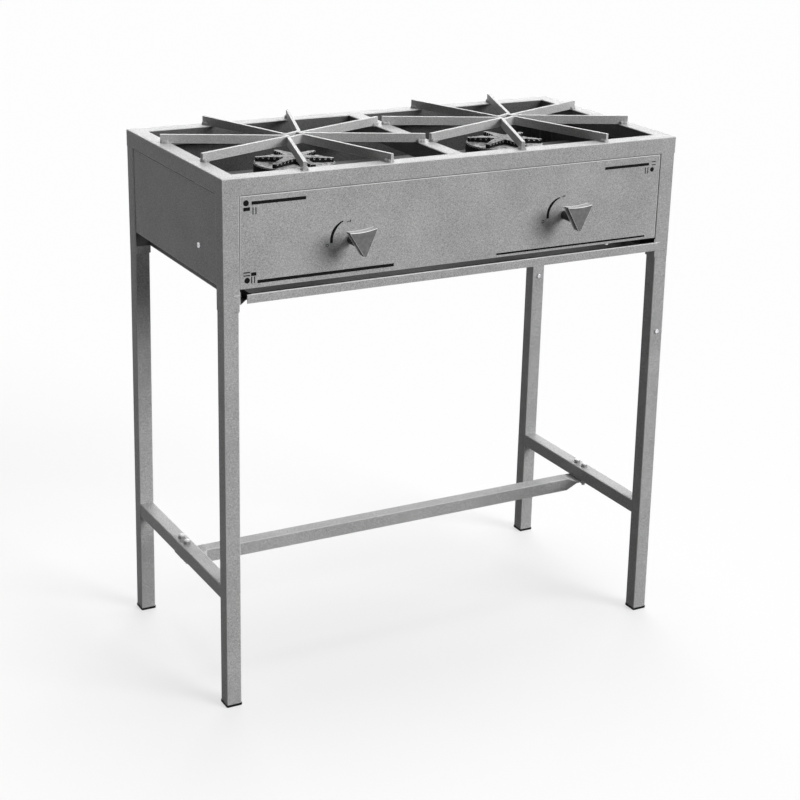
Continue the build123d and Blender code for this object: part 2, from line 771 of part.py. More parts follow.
def build_knobs():
    back = knob_face_y + knob_thick
    hub_end = front_face_y - knob_panel_gap
    stem_front = back - stem_in_knob
    stem_back = valve_front_y + stem_in_valve
    for x, turn, name in ((knob_left_x, knob_left_turn, "left"),
                          (knob_right_x, knob_right_turn, "right")):
        grip = Pos(0, back, 0) * knob_shape()
        grip += disc_y(knob_hub_d / 2, back - 0.5, hub_end)
        flat = stem_d / 2 - stem_flat
        cutter = Pos(0, (hub_end + stem_front) / 2, flat + stem_d / 2) * Box(
            2 * stem_d, hub_end - stem_front, stem_d)
        stem = disc_y(stem_d / 2, stem_front, stem_back)
        bore = disc_y(stem_d / 2 + stem_fit, stem_front - stem_fit, hub_end + 1)
        bore -= Pos(0, 0, stem_fit) * cutter
        stem -= cutter
        place = Pos(x, 0, valve_z) * Rot(0, -turn, 0)
        save(f"knob_{name}", place * (grip - bore))
        save(f"valve_stem_{name}", place * stem)


def build_gas_train():
    """Valves and jets on a pipe that runs along the front and out at the back."""
    drills = []
    for x, name in ((knob_left_x, "left"), (knob_right_x, "right")):
        body = disc_y(valve_d / 2, valve_front_y + valve_nose, valve_back_y)
        body += disc_y(valve_nose_d / 2, valve_front_y, valve_front_y + valve_nose + 1)
        body += disc_z(valve_port_d / 2, pipe_z - valve_z, 0, 0, pipe_y)
        body -= Pos(0, pipe_y, pipe_z - valve_z) * Rot(0, 90, 0) * Cylinder(
            pipe_d / 2 + stem_fit, 4 * valve_d)
        body -= disc_y(stem_d / 2 + stem_fit, valve_front_y - 1, valve_front_y + stem_in_valve)
        save(f"valve_{name}", Pos(x, 0, valve_z) * body)
        jet = Pos(0, valve_back_y, 0) * Rot(-90, 0, 0) * extrude(hexagon(jet_af), jet_hex)
        jet += disc_y(jet_tip_d / 2, valve_back_y, valve_back_y + jet_length)
        tip = jet.faces().sort_by(Axis.Y)[-1]
        jet = chamfer(tip.edges(), 2.0)
        jet -= disc_y(jet_bore / 2, valve_back_y - 1, valve_back_y + jet_length + 1)
        save(f"jet_{name}", Pos(x, 0, valve_z) * jet)
        drills.append(disc_z(pipe_port_d / 2, pipe_z, pipe_z + pipe_d, x, pipe_y))

    start_x = -side_sheet_x + bracket_sheet
    with BuildLine() as route:
        FilletPolyline((start_x, pipe_y, pipe_z), (pipe_turn_x, pipe_y, pipe_z),
                       (pipe_turn_x, pipe_back_y, pipe_z), radius=pipe_turn_r)
    mouth = Plane(origin=(start_x, pipe_y, pipe_z), z_dir=(1, 0, 0))
    ring = Circle(pipe_d / 2) - Circle(pipe_d / 2 - pipe_wall)
    pipe = sweep(mouth * ring, path=route.wire())
    pipe += Pos(start_x + pipe_wall / 2, pipe_y, pipe_z) * Rot(0, 90, 0) * Cylinder(
        pipe_d / 2 - pipe_wall / 2, pipe_wall)
    for drill in drills:
        pipe -= drill
    save("gas_pipe", pipe)

    plate_x = -side_sheet_x + bracket_sheet / 2
    low = pipe_z - pipe_d / 2 - bracket_margin
    high = panel_screw_z + bracket_screw_margin
    front = pipe_y - pipe_d / 2 - bracket_margin
    back = panel_screw_y + bracket_screw_margin
    plate = Pos(plate_x, (front + back) / 2, (low + high) / 2) * Box(
        bracket_sheet, back - front, high - low)
    plate = fillet(plate.edges().filter_by(Axis.X), bracket_corner)
    socket = Pos(-side_sheet_x + bracket_socket / 2, pipe_y, pipe_z) * Rot(0, 90, 0) * (
        Cylinder(pipe_d / 2 + bracket_socket_wall, bracket_socket))
    bore = Pos(-side_sheet_x + bracket_sheet + bracket_socket, pipe_y, pipe_z) * Rot(
        0, 90, 0) * Cylinder(pipe_d / 2 + bracket_fit, 2 * bracket_socket)
    hole = Pos(plate_x, panel_screw_y, panel_screw_z) * Rot(0, 90, 0) * Cylinder(
        leg_screw_d / 2 + screw_clearance, 4 * bracket_sheet)
    save("pipe_bracket", plate + socket - bore - hole)

    seat = rear_face_y
    nozzle = Pos(0, seat, 0) * Rot(-90, 0, 0) * extrude(hexagon(nozzle_hex_af), nozzle_hex)
    nozzle += disc_y(nozzle_spigot_d / 2, seat, nozzle_end_y)
    nozzle += disc_y(pipe_d / 2 - pipe_wall - stem_fit, pipe_back_y - nozzle_in_pipe, seat + 1)
    nozzle += disc_y(pipe_d / 2, pipe_back_y, seat + 1)
    ring_room = nozzle_end_y - nozzle_plain - seat - nozzle_hex
    for step in range(nozzle_rings):
        y = seat + nozzle_hex + ring_room * (step + 0.5) / nozzle_rings
        wide = nozzle_spigot_d / 2 + nozzle_ring_rise
        nozzle += Pos(0, y, 0) * Rot(90, 0, 0) * Cone(
            wide, nozzle_spigot_d / 2, ring_room / nozzle_rings * nozzle_ring_share)
    nozzle -= disc_y(nozzle_bore / 2, pipe_back_y - 2 * nozzle_in_pipe, nozzle_end_y + 1)
    save("hose_nozzle", Pos(pipe_turn_x, 0, pipe_z) * nozzle)


os.makedirs("parts", exist_ok=True)
build_frame()
build_legs()
build_low_rails()
build_panels()
build_tray()
build_supports()
build_burners()
build_knobs()
build_gas_train()
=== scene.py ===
import bpy
import json
from math import atan2, cos, hypot, radians, sin
from mathutils import Euler, Matrix, Vector


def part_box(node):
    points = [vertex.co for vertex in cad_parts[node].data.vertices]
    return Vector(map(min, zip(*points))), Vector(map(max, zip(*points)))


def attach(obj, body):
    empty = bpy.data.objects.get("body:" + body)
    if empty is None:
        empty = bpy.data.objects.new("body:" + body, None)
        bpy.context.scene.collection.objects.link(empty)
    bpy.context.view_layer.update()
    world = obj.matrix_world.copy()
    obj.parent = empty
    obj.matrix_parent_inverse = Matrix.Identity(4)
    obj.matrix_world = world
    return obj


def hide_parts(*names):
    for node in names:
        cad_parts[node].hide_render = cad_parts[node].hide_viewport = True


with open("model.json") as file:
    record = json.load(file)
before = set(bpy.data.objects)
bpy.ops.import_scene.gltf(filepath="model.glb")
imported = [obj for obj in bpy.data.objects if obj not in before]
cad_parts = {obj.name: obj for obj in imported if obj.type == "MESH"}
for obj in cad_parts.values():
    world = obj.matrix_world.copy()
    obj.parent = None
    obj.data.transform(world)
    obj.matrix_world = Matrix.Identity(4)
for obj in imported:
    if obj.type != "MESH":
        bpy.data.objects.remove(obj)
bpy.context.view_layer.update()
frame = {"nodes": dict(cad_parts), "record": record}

nodes = frame["nodes"]
mm = 0.001
bpy.ops.object.select_all(action="DESELECT")
print("frame loaded", len(nodes), "nodes")

view = {
    "place": (-1.28770, -2.34931, 1.34061),   # metres
    "turn": -28.83,                           # degrees, as are down and roll
    "down": 19.96,
    "roll": 1.34,
    "focal": 1776.61,                         # pixels
    "picture": 800,                           # pixels
    "sensor": 36,                             # millimetres
    "farthest": 100,                          # metres
}


def addCamera():
    bpy.ops.object.camera_add(location=view["place"])
    camera = bpy.context.object
    camera.name = "photoCamera"
    aim = Euler((radians(90 - view["down"]), 0, radians(view["turn"]))).to_matrix()
    aim = aim @ Matrix.Rotation(radians(view["roll"]), 3, "Z")
    camera.rotation_euler = aim.to_euler()
    camera.data.sensor_width = view["sensor"]
    camera.data.lens = view["sensor"] * view["focal"] / view["picture"]
    camera.data.clip_end = view["farthest"]
    bpy.context.scene.camera = camera


def linear(text):
    # sRGB hex to the linear values that shaders take
    parts = [int(text[i:i + 2], 16) / 255 for i in (1, 3, 5)]
    return tuple(c / 12.92 if c <= 0.04045 else ((c + 0.055) / 1.055) ** 2.4
                 for c in parts) + (1,)


def addNode(tree, kind, inputs=None, stops=(), **settings):
    # stops are a colour ramp's (place, hex) pairs, two or more
    made = tree.nodes.new(kind)
    for name, value in settings.items():
        setattr(made, name, value)
    for socket, value in (inputs or {}).items():
        if isinstance(value, bpy.types.NodeSocket):
            tree.links.new(value, made.inputs[socket])
        else:
            made.inputs[socket].default_value = value
    for step, (place, colour) in enumerate(stops):
        band = made.color_ramp.elements
        stop = band[step] if step < len(band) else band.new(place)
        stop.position = place
        stop.color = linear(colour)
    return made


def newMaterial(name, **sockets):
    material = bpy.data.materials.new(name)
    material.use_nodes = True
    tree = material.node_tree
    shader = tree.nodes["Principled BSDF"]
    for socket, value in sockets.items():
        shader.inputs[socket.replace("_", " ")].default_value = value
    coords = addNode(tree, "ShaderNodeTexCoord").outputs["Object"]
    return material, tree, shader, coords


studio = {
    "floorSize": 60.0,          # metres
    "floorColour": "#F8F8F8",
    "floorGlow": 0.6,           # share of the seen floor that is plain white
    "bounceColour": "#6E6E6E",  # the floor as its light falls back on the object
    "white": "#FFFFFF",
    "sky": 0.07,
    # name, degrees from above and to the right, power, softness in degrees
    "lamps": [("frontKey", (66, 0, 35), 2.35, 32), ("topFill", (14, 0, 120), 1.6, 50),
              ("rearFill", (70, 0, 152), 1.5, 40)],
}


def seenRay(tree):
    # 1 for rays from the camera, a reflection or glass
    path = addNode(tree, "ShaderNodeLightPath")
    direct = addNode(tree, "ShaderNodeMath", {0: path.outputs["Is Camera Ray"],
                                              1: path.outputs["Is Glossy Ray"]},
                     operation="MAXIMUM")
    seen = addNode(tree, "ShaderNodeMath", {0: direct.outputs[0],
                                            1: path.outputs["Is Transmission Ray"]},
                   operation="MAXIMUM")
    return seen.outputs[0]


def addFloor():
    bpy.ops.mesh.primitive_plane_add(size=studio["floorSize"])
    floor = bpy.context.object
    floor.name = "studioFloor"
    material, tree, shader, _ = newMaterial("matt studio floor", Roughness=1.0,
                                            Specular_IOR_Level=0)
    seen = seenRay(tree)
    colour = addNode(tree, "ShaderNodeMix", {0: seen, 6: linear(studio["bounceColour"]),
                                             7: linear(studio["floorColour"])},
                     data_type="RGBA")
    tree.links.new(colour.outputs[2], shader.inputs["Base Color"])
    glow = addNode(tree, "ShaderNodeEmission", {"Color": linear(studio["white"]),
                                                "Strength": 1.0})
    share = addNode(tree, "ShaderNodeMath", {0: seen, 1: studio["floorGlow"]},
                    operation="MULTIPLY")
    mix = addNode(tree, "ShaderNodeMixShader", {0: share.outputs[0], 1: shader.outputs[0],
                                                2: glow.outputs[0]})
    tree.links.new(mix.outputs[0], tree.nodes["Material Output"].inputs["Surface"])
    floor.data.materials.append(material)


def addLight():
    for name, turn, power, softness in studio["lamps"]:
        bpy.ops.object.light_add(type="SUN", rotation=[radians(a) for a in turn])
        lamp = bpy.context.object
        lamp.name = name
        lamp.data.energy = power
        lamp.data.angle = radians(softness)

    world = bpy.data.worlds.new("studioWorld")
    bpy.context.scene.world = world
    world.use_nodes = True
    tree = world.node_tree
    white = linear(studio["white"])
    sky = addNode(tree, "ShaderNodeBackground", {"Color": white, "Strength": studio["sky"]})
    seen = addNode(tree, "ShaderNodeBackground", {"Color": white, "Strength": 1.0})
    mix = addNode(tree, "ShaderNodeMixShader", {0: seenRay(tree), 1: sky.outputs[0],
                                                2: seen.outputs[0]})
    tree.links.new(mix.outputs[0], tree.nodes["World Output"].inputs["Surface"])


addCamera()
addFloor()
addLight()
bpy.context.scene.view_settings.view_transform = "Standard"
print("camera and studio")


def edgeMask(tree, radius, reach):
    # 1 on sharp outer and inner edges, falling to 0 one radius away
    soft = addNode(tree, "ShaderNodeBevel", {"Radius": radius}, samples=6)
    flat = addNode(tree, "ShaderNodeNewGeometry")
    same = addNode(tree, "ShaderNodeVectorMath", {0: soft.outputs["Normal"],
                                                  1: flat.outputs["Normal"]},
                   operation="DOT_PRODUCT")
    mask = addNode(tree, "ShaderNodeMapRange", {"Value": same.outputs["Value"],
                                                "From Min": 1.0, "From Max": reach})
    return mask.outputs["Result"]


def foldHighlightMask(tree):
    # painted highlight mask: up to a half on rounded corners and folds of parts that lie
    # square to the axes, where the sizes of the normal's three shares add up to more than 1,
    # and 0 on flats
    normal = addNode(tree, "ShaderNodeTexCoord").outputs["Normal"]
    size = addNode(tree, "ShaderNodeVectorMath", {0: normal}, operation="ABSOLUTE")
    total = addNode(tree, "ShaderNodeVectorMath", {0: size.outputs["Vector"], 1: (1, 1, 1)},
                    operation="DOT_PRODUCT")
    mask = addNode(tree, "ShaderNodeMapRange", {"Value": total.outputs["Value"],
                                                "From Min": 1.12, "From Max": 1.3,
                                                "To Max": 0.5})
    return mask.outputs["Result"]


def insideBox(tree, coords, middle, reach):
    # 1 inside a box of the object, 0 outside it
    place = addNode(tree, "ShaderNodeSeparateXYZ", {0: coords})
    mask = 1.0
    for axis, centre, half in zip("XYZ", middle, reach):
        near = addNode(tree, "ShaderNodeMath", {0: place.outputs[axis], 1: centre, 2: half},
                       operation="COMPARE")
        mask = addNode(tree, "ShaderNodeMath", {0: near.outputs[0], 1: mask},
                       operation="MULTIPLY").outputs[0]
    return mask


panelRim = {"width": 1.3, "depth": 1.2, "lap": 0.05}   # millimetres


def panelRims(name, axis, outward):
    # thin boxes along the two sides and the top of a folded panel, where its folds get a
    # painted highlight
    low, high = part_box(name)
    other = 1 - axis
    width = panelRim["width"] * mm
    middle, reach = (low + high) / 2, (high - low) / 2
    middle[axis] += outward * reach[axis]
    reach[axis] = panelRim["depth"] * mm
    rimHighlightMask = []
    for along, place in ((2, high[2] - width / 2), (other, low[other] + width / 2),
                         (other, high[other] - width / 2)):
        spot, half = middle.copy(), reach.copy()
        spot[along], half[along] = place, width / 2 + panelRim["lap"] * mm
        rimHighlightMask.append({"middle": tuple(spot), "reach": tuple(half)})
    return rimHighlightMask


# painted highlights on the panels' folds and the tray's front lip
foldHighlightBoxes = (panelRims("front_panel", 1, -1) + panelRims("rear_panel", 1, 1)
               + panelRims("left_panel", 0, -1) + panelRims("right_panel", 0, 1)
               + [{"middle": (0, -0.1850, 0.6352), "reach": (0.36, 0.0016, 0.0006)}])

# boxes in metres, and the tone that the paint inside them is multiplied by, as painted shade
paintedShadeAndSoot = [
    # painted shade inside the range, behind the panels and over the drip tray, where soot and
    # heat darken the paint too
    ({"middle": (0, 0, 0.7107), "reach": (0.3746, 0.1822, 0.0878)}, "#8A8A8A"),
    # painted shade in the dark gap of the tray's mouth, just behind its front strip
    ({"middle": (0, -0.1662, 0.63), "reach": (0.36, 0.0163, 0.01)}, "#3A3A3A"),
]

paint = {
    "flake": 1.7 * mm,
    "drift": 60 * mm,          # slow change from one spot to the next
    "driftShare": 0.2,
    "grid": (0.6, 0.4, 0.3),   # turned, so that no flat lies along the pattern's own grid
    "dimple": 0.3 * mm,
    "edge": 1.2 * mm,
    "foldHighlightShare": 0.7,
}


def hammeredPaint(name, light, dark, edge, folded=False):
    # hammered enamel over steel: fine grey flake and low dimples, with the edge colour as a
    # painted highlight on edges and folds, and painted shade inside the range, which soot and
    # heat darken too, and in the tray's mouth
    material, tree, shader, coords = newMaterial(name, Roughness=0.5, Specular_IOR_Level=0.15)
    turned = addNode(tree, "ShaderNodeMapping", {"Vector": coords, "Rotation": paint["grid"]})
    flake = addNode(tree, "ShaderNodeTexNoise", {"Vector": turned.outputs["Vector"],
                                                 "Scale": 1 / paint["flake"], "Detail": 3.0,
                                                 "Roughness": 0.6})
    drift = addNode(tree, "ShaderNodeTexNoise", {"Vector": turned.outputs["Vector"],
                                                 "Scale": 1 / paint["drift"], "Detail": 3.0})
    mixed = addNode(tree, "ShaderNodeMath", {0: drift.outputs["Fac"], 1: paint["driftShare"],
                                             2: flake.outputs["Fac"]},
                    operation="MULTIPLY_ADD")
    tone = addNode(tree, "ShaderNodeValToRGB", {"Fac": mixed.outputs[0]},
                   [(0.42, dark), (0.82, light)])
    # the edge colour goes on folds or sharp edges as a painted highlight
    mask = foldHighlightMask(tree) if folded else edgeMask(tree, paint["edge"], 0.8)
    for wearAndHighlight in foldHighlightBoxes if folded else []:
        mask = addNode(tree, "ShaderNodeMath", {0: insideBox(tree, coords, **wearAndHighlight),
                                                1: paint["foldHighlightShare"], 2: mask},
                       operation="MULTIPLY_ADD", use_clamp=True).outputs[0]
    colour = addNode(tree, "ShaderNodeMix", {0: mask, 6: tone.outputs["Color"],
                                             7: linear(edge)}, data_type="RGBA").outputs[2]
    for space, shade in paintedShadeAndSoot:
        colour = addNode(tree, "ShaderNodeMix", {0: insideBox(tree, coords, **space),
                                                 6: colour, 7: linear(shade)},
                         data_type="RGBA", blend_type="MULTIPLY").outputs[2]
    tree.links.new(colour, shader.inputs["Base Color"])
    bump = addNode(tree, "ShaderNodeBump", {"Height": flake.outputs["Fac"],
                                            "Strength": 0.25, "Distance": paint["dimple"]})
    tree.links.new(bump.outputs["Normal"], shader.inputs["Normal"])
    return material


castSkin = {
    "grain": 1.8 * mm,
    "patches": 6 * mm,
    "edge": 1.4 * mm,
    "pitting": 0.5 * mm,
    # colour of the rims: worn metal and a painted highlight
    "wearAndHighlight": "#F0F0F0",
    "burnt": "#C0C0C0",
    # the raised star of both burner caps, which the flames keep darker than the deck
    "star": {"middle": (0, 0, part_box("burner_cap_left")[1].z - 3.4 * mm),
             "reach": (0.3, 0.1, 4.4 * mm)},
}


def castIron(name):
    # sand cast iron, black from the fire, lighter on top faces and rims: wear where pots and
    # cleaning rub, and painted highlight
    material, tree, shader, coords = newMaterial(name, Roughness=0.55, Specular_IOR_Level=0.2)
    grain = addNode(tree, "ShaderNodeTexNoise", {"Vector": coords,
                                                 "Scale": 1 / castSkin["grain"],
                                                 "Detail": 6.0, "Roughness": 0.65})
    patches = addNode(tree, "ShaderNodeTexNoise", {"Vector": coords,
                                                   "Scale": 1 / castSkin["patches"],
                                                   "Detail": 6.0, "Roughness": 0.7})
    facing = addNode(tree, "ShaderNodeNewGeometry")
    up = addNode(tree, "ShaderNodeSeparateXYZ", {0: facing.outputs["True Normal"]})
    # faces that look up are lighter: worn metal, and painted light from above
    wearAndHighlight = addNode(tree, "ShaderNodeMath", {0: up.outputs["Z"],
                                              1: patches.outputs["Fac"]},
                     operation="MULTIPLY")
    tone = addNode(tree, "ShaderNodeValToRGB", {"Fac": wearAndHighlight.outputs[0]},
                   [(0.2, "#0B0B0B"), (0.41, "#565656"), (0.53, "#D2D2D2")])
    burnt = addNode(tree, "ShaderNodeMix", {0: insideBox(tree, coords, **castSkin["star"]),
                                            6: tone.outputs["Color"],
                                            7: linear(castSkin["burnt"])},
                    data_type="RGBA", blend_type="MULTIPLY")
    # rims lighter: worn metal, and a painted highlight
    worn = addNode(tree, "ShaderNodeMath", {0: edgeMask(tree, castSkin["edge"], 0.75),
                                            1: patches.outputs["Fac"]},
                   operation="MULTIPLY")
    rimWearAndHighlight = addNode(tree, "ShaderNodeMapRange", {"Value": worn.outputs[0],
                                                "From Min": 0.08, "From Max": 0.3})
    colour = addNode(tree, "ShaderNodeMix", {0: rimWearAndHighlight.outputs["Result"], 6: burnt.outputs[2],
                                             7: linear(castSkin["wearAndHighlight"])},
                     data_type="RGBA")
    tree.links.new(colour.outputs[2], shader.inputs["Base Color"])
    bump = addNode(tree, "ShaderNodeBump", {"Height": grain.outputs["Fac"],
                                            "Strength": 0.5, "Distance": castSkin["pitting"]})
    tree.links.new(bump.outputs["Normal"], shader.inputs["Normal"])
    return material


def mouldedPlastic(name, dark, light):
    # injection moulded polyethylene: even matt black, from a fine spark eroded mould
    material, tree, shader, coords = newMaterial(name, Roughness=0.6, Specular_IOR_Level=0.15)
    cloud = addNode(tree, "ShaderNodeTexNoise", {"Vector": coords, "Scale": 1 / (10 * mm),
                                                 "Detail": 3.0})
    tone = addNode(tree, "ShaderNodeValToRGB", {"Fac": cloud.outputs["Fac"]},
                   [(0.3, dark), (0.8, light)])
    tree.links.new(tone.outputs["Color"], shader.inputs["Base Color"])
    # the mould's grain, drawn coarser than it is so that it shows
    grain = addNode(tree, "ShaderNodeTexNoise", {"Vector": coords, "Scale": 1 / (0.4 * mm),
                                                 "Detail": 2.0})
    bump = addNode(tree, "ShaderNodeBump", {"Height": grain.outputs["Fac"],
                                            "Strength": 0.3, "Distance": 0.1 * mm})
    tree.links.new(bump.outputs["Normal"], shader.inputs["Normal"])
    return material


knobBands = {
    # the recess band takes painted shade, the rim bands painted highlights
    # metres from the middle of the range to the middle of a band, and half its depth
    "frontRim": (-0.2284, 0.0006),
    "recess": (-0.2260, 0.0020),
    "backRim": (-0.2153, 0.0009),
    "hub": (-0.2002, 0.0140),
    "hubRim": (-0.1849, 0.0013),
}


def knobBand(name):
    # the box of one band, across both knobs
    depth, half = knobBands[name]
    return {"middle": (0, depth, 0.6975), "reach": (0.25, half, 0.03)}


def dieCast(name, light, dark, top, rimHighlightTone):
    # satin grey die casting: painted light on faces that look up, painted highlights on the
    # rims, painted shade in the recess, hub left dark
    material, tree, shader, coords = newMaterial(name, Roughness=0.5, Metallic=0.1)
    marks = addNode(tree, "ShaderNodeTexNoise", {"Vector": coords, "Scale": 1 / (6 * mm),
                                                 "Detail": 5.0})
    tone = addNode(tree, "ShaderNodeValToRGB", {"Fac": marks.outputs["Fac"]},
                   [(0.3, dark), (0.7, light)])
    normal = addNode(tree, "ShaderNodeTexCoord").outputs["Normal"]
    facing = addNode(tree, "ShaderNodeSeparateXYZ", {0: normal})
    litFromAbove = addNode(tree, "ShaderNodeMapRange", {"Value": facing.outputs["Z"],
                                                 "From Min": 0.6, "From Max": 0.85})
    along = addNode(tree, "ShaderNodeMath", {0: facing.outputs["Y"]}, operation="ABSOLUTE")
    # painted highlight on rounded rims: neither square to the knob's axis nor along it
    rimHighlightMask = addNode(tree, "ShaderNodeMath", {0: along.outputs[0], 1: 0.56, 2: 0.38},
                   operation="COMPARE")
    colour = tone.outputs["Color"]
    # painted shade in the recess, painted light on faces that look up, painted highlights on
    # the rims and the hub's rim
    for mask, shade in [(insideBox(tree, coords, **knobBand("recess")), "#161616"),
                        (litFromAbove.outputs["Result"], top),
                        (insideBox(tree, coords, **knobBand("hub")), "#141414"),
                        (insideBox(tree, coords, **knobBand("hubRim")), top),
                        (insideBox(tree, coords, **knobBand("frontRim")), rimHighlightTone),
                        (insideBox(tree, coords, **knobBand("backRim")), rimHighlightTone),
                        (rimHighlightMask.outputs[0], rimHighlightTone)]:
        colour = addNode(tree, "ShaderNodeMix", {0: mask, 6: colour, 7: linear(shade)},
                         data_type="RGBA").outputs[2]
    tree.links.new(colour, shader.inputs["Base Color"])
    fine = addNode(tree, "ShaderNodeTexNoise", {"Vector": coords, "Scale": 1 / (0.6 * mm),
                                                "Detail": 2.0})
    bump = addNode(tree, "ShaderNodeBump", {"Height": fine.outputs["Fac"],
                                            "Strength": 0.2, "Distance": 0.1 * mm})
    tree.links.new(bump.outputs["Normal"], shader.inputs["Normal"])
    return material


def metalFinish(name, light, dark, roughness, grain, metallic=0.85, sides=None):
    # bare or plated metal: slight mottling and fine marks, and painted shade on the sides
    # below the lit top faces
    material, tree, shader, coords = newMaterial(name, Roughness=roughness,
                                                 Metallic=metallic)
    marks = addNode(tree, "ShaderNodeTexNoise", {"Vector": coords, "Scale": 1 / grain,
                                                 "Detail": 5.0})
    tone = addNode(tree, "ShaderNodeValToRGB", {"Fac": marks.outputs["Fac"]},
                   [(0.3, dark), (0.7, light)])
    colour = tone.outputs["Color"]
    # sides darker than the top faces: painted shade
    if sides:
        up = addNode(tree, "ShaderNodeSeparateXYZ",
                     {0: addNode(tree, "ShaderNodeTexCoord").outputs["Normal"]})
        litFromAbove = addNode(tree, "ShaderNodeMapRange", {"Value": up.outputs["Z"],
                                                     "From Min": 0.3, "From Max": 0.75})
        colour = addNode(tree, "ShaderNodeMix", {0: litFromAbove.outputs["Result"],
                                                 6: linear(sides), 7: colour},
                         data_type="RGBA").outputs[2]
    tree.links.new(colour, shader.inputs["Base Color"])
    bump = addNode(tree, "ShaderNodeBump", {"Height": marks.outputs["Fac"],
                                            "Strength": 0.2, "Distance": 0.2 * mm})
    tree.links.new(bump.outputs["Normal"], shader.inputs["Normal"])
    return material


def printInk(name, dark, light):
    # screen printed enamel: dense black, a little uneven where it lies over the dimples
    material, tree, shader, coords = newMaterial(name, Roughness=0.6, Specular_IOR_Level=0.1)
    patchy = addNode(tree, "ShaderNodeTexNoise", {"Vector": coords, "Scale": 1 / (1.5 * mm),
                                                  "Detail": 3.0})
    tone = addNode(tree, "ShaderNodeValToRGB", {"Fac": patchy.outputs["Fac"]},
                   [(0.35, dark), (0.8, light)])
    tree.links.new(tone.outputs["Color"], shader.inputs["Base Color"])
    bump = addNode(tree, "ShaderNodeBump", {"Height": patchy.outputs["Fac"],
                                            "Strength": 0.2, "Distance": 0.1 * mm})
    tree.links.new(bump.outputs["Normal"], shader.inputs["Normal"])
    return material


# the fourth colour of each paint goes on its edges and folds as a painted highlight
framePaint = hammeredPaint("hammered grey enamel", "#D4D4D4", "#949494", "#F4F4F4", True)
gratePaint = hammeredPaint("aluminium paint on flat bar", "#D2D2D2", "#A4A4A4", "#F2F2F2")
weldPaint = hammeredPaint("paint over weld", "#C2C2C2", "#989898", "#B4B4B4")
iron = castIron("worn cast iron")
capPlastic = mouldedPlastic("black polyethylene cap", "#070707", "#101010")
knobCasting = dieCast("satin die casting", "#767676", "#5E5E5E", "#B4B4B4", "#FAFAFA")
zinc = metalFinish("zinc plated steel", "#EDEEF0", "#C4C6C9", 0.3, 4 * mm)
boltZinc = metalFinish("zinc plated bolt", "#F6F6F6", "#D8D8D8", 0.45, 3 * mm, 0.2, "#969696")
galvanised = metalFinish("galvanised tube", "#B4B7BA", "#8C9094", 0.5, 8 * mm)
brassMetal = metalFinish("turned brass", "#C8A25A", "#A47F3C", 0.35, 2 * mm)
ink = printInk("black screen print", "#010101", "#0C0C0C")

finishes = {
    "frame_paint": framePaint,
    "grate_paint": gratePaint,
    "cast_iron": iron,
    "black_plastic": capPlastic,
    "knob_metal": knobCasting,
    "zinc_steel": zinc,
    "bare_tube": galvanised,
    "brass": brassMetal,
}
# bolts and nuts get painted shade on their sides
shadedSideNodes = {"crossbar_bolts": boltZinc, "crossbar_nuts": boltZinc}

slotOf = {part["node"]: part["material_slot"] for part in frame["record"]["subparts"]}
for name, piece in nodes.items():
    piece.data.materials.clear()
    piece.data.materials.append(shadedSideNodes.get(name, finishes[slotOf[name]]))
print("materials")


def fixPlace():
    # puts the place, turn and size of the new object into its mesh
    bpy.ops.object.transform_apply(location=True, rotation=True, scale=True)
    return bpy.context.object


def editWhole(*steps):
    # takes edit mode steps, each on all of the active piece's mesh
    bpy.ops.object.mode_set(mode="EDIT")
    for step in steps:
        bpy.ops.mesh.select_all(action="SELECT")
        step()
    bpy.ops.object.mode_set(mode="OBJECT")


def turnOutwards():
    bpy.ops.mesh.normals_make_consistent(inside=False)


def applyModifier(kind, **settings):
    # shapes the active piece with one modifier
    change = bpy.context.object.modifiers.new("shape", kind)
    for name, value in settings.items():
        setattr(change, name, value)
    bpy.ops.object.modifier_apply(modifier=change.name)


def bareMesh(name, points, faces):
    mesh = bpy.data.meshes.new(name)
    mesh.from_pydata(points, [], faces)
    piece = bpy.data.objects.new(name, mesh)
    bpy.context.collection.objects.link(piece)
    return piece


def joinPieces(pieces):
    bpy.ops.object.select_all(action="DESELECT")
    for piece in pieces:
        piece.select_set(True)
    bpy.context.view_layer.objects.active = pieces[0]
    if len(pieces) > 1:
        bpy.ops.object.join()


def settle(name, material, body="frame", smooth=35):
    # name, normals, material, body and slot of the piece just made
    bpy.context.object.name = name
    piece = fixPlace()
    editWhole(turnOutwards)
    bpy.ops.object.shade_smooth_by_angle(angle=radians(smooth))
    piece.data.materials.clear()
    piece.data.materials.append(material)
    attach(piece, body)
    piece.select_set(False)
    return piece


